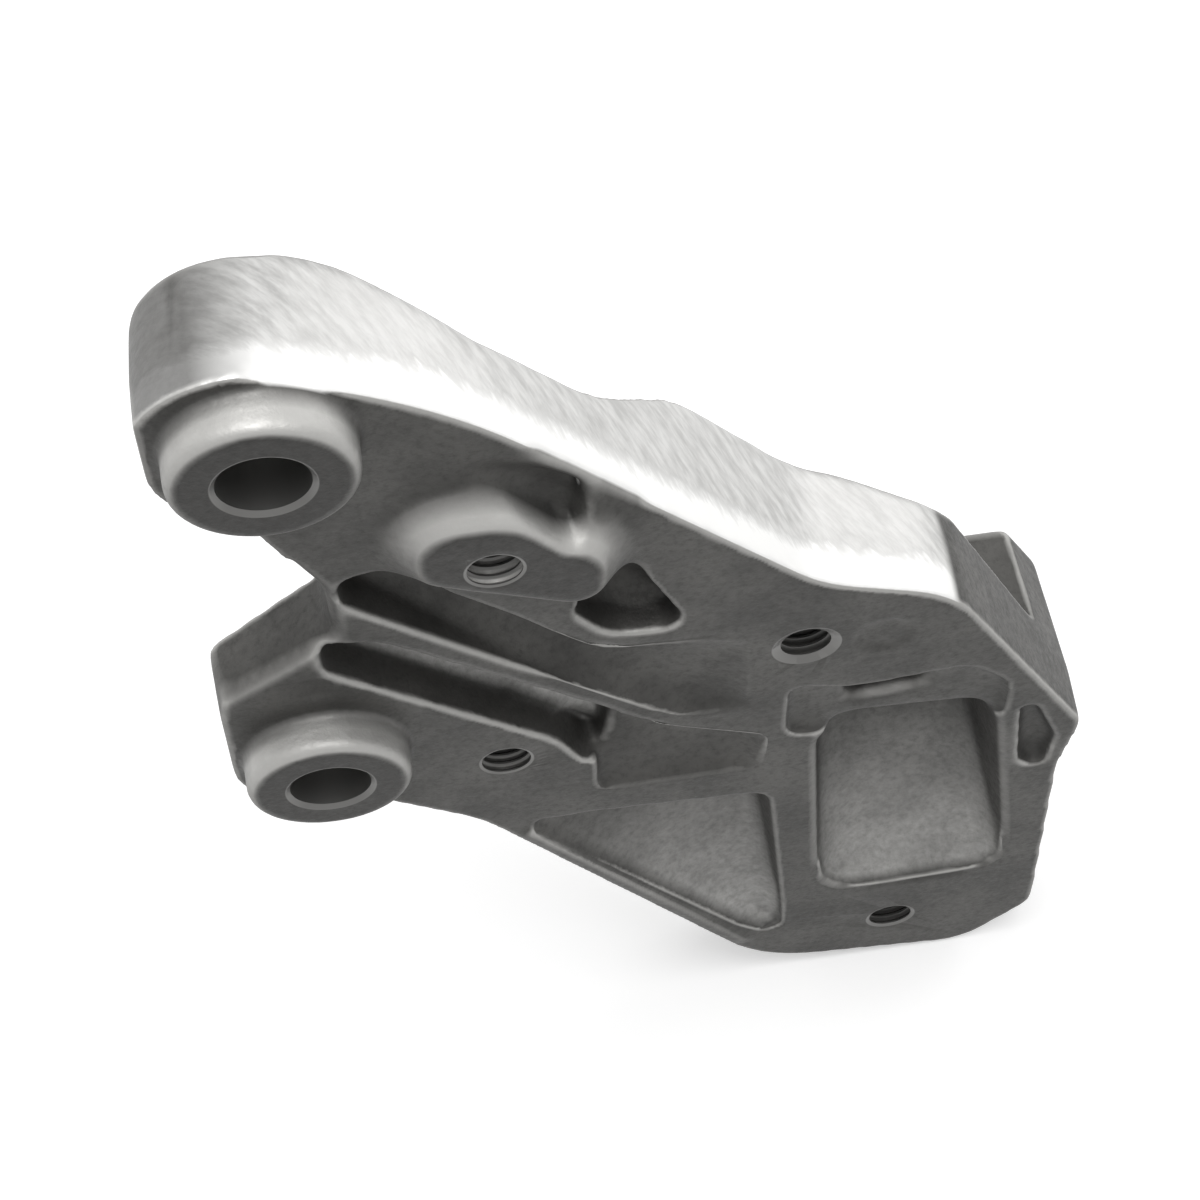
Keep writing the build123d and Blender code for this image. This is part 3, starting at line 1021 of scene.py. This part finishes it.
def relief(tree, height):
    """Turns a height into a bent normal."""
    bump = tree.nodes.new("ShaderNodeBump")
    bump.inputs["Strength"].default_value = BUMP_STRENGTH
    bump.inputs["Distance"].default_value = BUMP_DISTANCE * MM
    link(tree, height, bump.inputs["Height"])
    return bump.outputs["Normal"]


def cast_aluminium():
    """Dull grey cast metal, bright where it was ground, drilled or worn, with painted highlights, painted
    light and painted shade.
    """
    material = bpy.data.materials.new("cast_aluminium")
    material.use_nodes = True
    tree = material.node_tree
    shader = tree.nodes["Principled BSDF"]
    at = readings(tree)
    ground = ground_mask(tree, at)
    drilled = map_range(tree, at["hole"], *DRILLED_REACH)
    colour = mix(tree, ground, skin_colour(tree, at), wall_strokes_and_highlight(tree, at))
    link(tree, mix(tree, drilled, colour, DRILLED_GREY), shader.inputs["Base Color"])
    skin_rough = map_range(tree, at["speckle"], *SPECKLE_RANGE, *SKIN_ROUGHNESS)
    wall_rough = map_range(tree, at["streak"], *STREAK_RANGE, *GROUND_ROUGHNESS)
    rough = mix(tree, ground, skin_rough, wall_rough)
    link(tree, mix(tree, drilled, rough, DRILLED_ROUGHNESS), shader.inputs["Roughness"])
    shader.inputs["Metallic"].default_value = METAL_SHARE
    strokes = math_node(tree, "MULTIPLY", at["streak"], STROKE_RELIEF)
    height = mix(tree, drilled, mix(tree, ground, at["grain"], strokes), DRILLED_HEIGHT)
    link(tree, relief(tree, height), shader.inputs["Normal"])
    return material


casting.data.materials.clear()
casting.data.materials.append(cast_aluminium())
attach(casting, "root")
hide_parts("bracket_casting")
print("material nodes:", len(casting.data.materials[0].node_tree.nodes))

# %% [markdown]
# The bracket stands on its foot on a pale floor. A low camera would need a curved backdrop,
# but this one looks down so steeply that a wide flat floor fills the picture. The lamps
# alone would leave the floor a light grey. So it glows a little for the rays that a camera
# sees, directly, in the metal or through glass. That makes it white and keeps the bracket's
# shadow on it, and it throws no more light on the bracket.

# %% Floor
FLOOR_SIZE = 6.0
FLOOR_PALE = (0.86, 0.86, 0.86, 1.0)
FLOOR_ROUGHNESS = 0.9
FLOOR_SHINE = 0.1
FLOOR_GLOW = 0.42
WHITE = (1.0, 1.0, 1.0, 1.0)


def seen_rays(tree):
    """1 for what the camera sees, directly, in metal or through glass, and 0 for light on other things."""
    rays = tree.nodes.new("ShaderNodeLightPath")
    seen = math_node(tree, "MAXIMUM", rays.outputs["Is Camera Ray"], rays.outputs["Is Glossy Ray"])
    return math_node(tree, "MAXIMUM", seen, rays.outputs["Is Transmission Ray"])


def floor_paint():
    """A matt pale paint that glows a little for the camera."""
    material = bpy.data.materials.new("pale_floor")
    material.use_nodes = True
    tree = material.node_tree
    shader = tree.nodes["Principled BSDF"]
    shader.inputs["Base Color"].default_value = FLOOR_PALE
    shader.inputs["Roughness"].default_value = FLOOR_ROUGHNESS
    shader.inputs["Specular IOR Level"].default_value = FLOOR_SHINE
    shader.inputs["Emission Color"].default_value = WHITE
    glow = map_range(tree, seen_rays(tree), 0.0, 1.0, 0.0, FLOOR_GLOW)
    link(tree, glow, shader.inputs["Emission Strength"])
    return material


ground_plane = bmesh.new()
bmesh.ops.create_grid(
    ground_plane,
    x_segments=1,
    y_segments=1,
    size=FLOOR_SIZE / 2,
    matrix=Matrix.Translation((0, 0, casting_low.z)),
)
floor = new_piece("floor", ground_plane)
floor.data.materials.append(floor_paint())
print("floor at", round(casting_low.z / MM, 1), "mm")

# %% [markdown]
# The camera looks down on the bracket from the front at 60 degrees. It stands close, so that
# the near end looks clearly larger than the foot, which gives the photograph its strong
# perspective. Angles round a point are easier to set than a place in the room, so its place
# is worked out from the point that it looks at.

# %% Camera
CAMERA_AIM = (33.75, -19.96, -8.27)
CAMERA_AZIMUTH = -9.1
CAMERA_ELEVATION = 60.1
CAMERA_DISTANCE = 305.4
CAMERA_LENS = 85.68
CAMERA_NEAREST = 10.0

camera = bpy.data.objects.new("camera", bpy.data.cameras.new("camera"))
bpy.context.scene.collection.objects.link(camera)
camera.data.lens = CAMERA_LENS
camera.data.clip_start = CAMERA_NEAREST * MM
camera.rotation_euler = (math.radians(90 - CAMERA_ELEVATION), 0, math.radians(CAMERA_AZIMUTH))
backwards = camera.rotation_euler.to_matrix() @ Vector((0, 0, 1))
camera.location = (Vector(CAMERA_AIM) + backwards * CAMERA_DISTANCE) * MM
bpy.context.scene.camera = camera
print("camera at", [round(v, 3) for v in camera.location])

# %% [markdown]
# Three softboxes light the bracket: one high above it, and one low on each side behind it.
# They make its top shine and leave its front in its own shade, as in the photograph. Sun
# lamps would give hard shadows instead. A pale world fills the shadows softly, and shows as
# full white to the camera and in the metal. Together they light things at a plain level, so
# that colours render about as they are written.

# %% Lights
PART_MIDDLE = (0.05, 0.0, -0.07)
WORLD_FILL = 0.34

# each softbox: its place in metres, its width and height, and its power in watts
SOFTBOXES = {
    "overhead": ((0.0, -0.05, 0.9), (0.7, 0.5), 6.5),
    "right_back": ((0.76, 0.48, 0.25), (0.6, 0.6), 1.5),
    "left_back": ((-0.7, 0.5, 0.2), (0.5, 0.5), 0.9),
}


def softbox(name, place, size, power):
    """A rectangular area light that looks at the middle of the part."""
    lamp = bpy.data.lights.new(name, "AREA")
    lamp.shape = "RECTANGLE"
    lamp.size, lamp.size_y = size
    lamp.energy = power
    holder = bpy.data.objects.new(name, lamp)
    bpy.context.scene.collection.objects.link(holder)
    holder.location = place
    aim = Vector(PART_MIDDLE) - Vector(place)
    holder.rotation_euler = aim.to_track_quat("-Z", "Y").to_euler()


def pale_world():
    """A world that fills the shadows softly and shows as white to the camera and in the metal."""
    world = bpy.data.worlds.new("pale world")
    world.use_nodes = True
    # the world is one even colour, so no map of its bright places is needed
    world.cycles.sampling_method = "NONE"
    tree = world.node_tree
    background = tree.nodes["Background"]
    background.inputs["Color"].default_value = WHITE
    strength = map_range(tree, seen_rays(tree), 0.0, 1.0, WORLD_FILL, 1.0)
    link(tree, strength, background.inputs["Strength"])
    bpy.context.scene.world = world


for name, (place, size, power) in SOFTBOXES.items():
    softbox(name, place, size, power)
pale_world()
bpy.context.scene.view_settings.view_transform = "Standard"
print("softboxes:", ", ".join(SOFTBOXES))
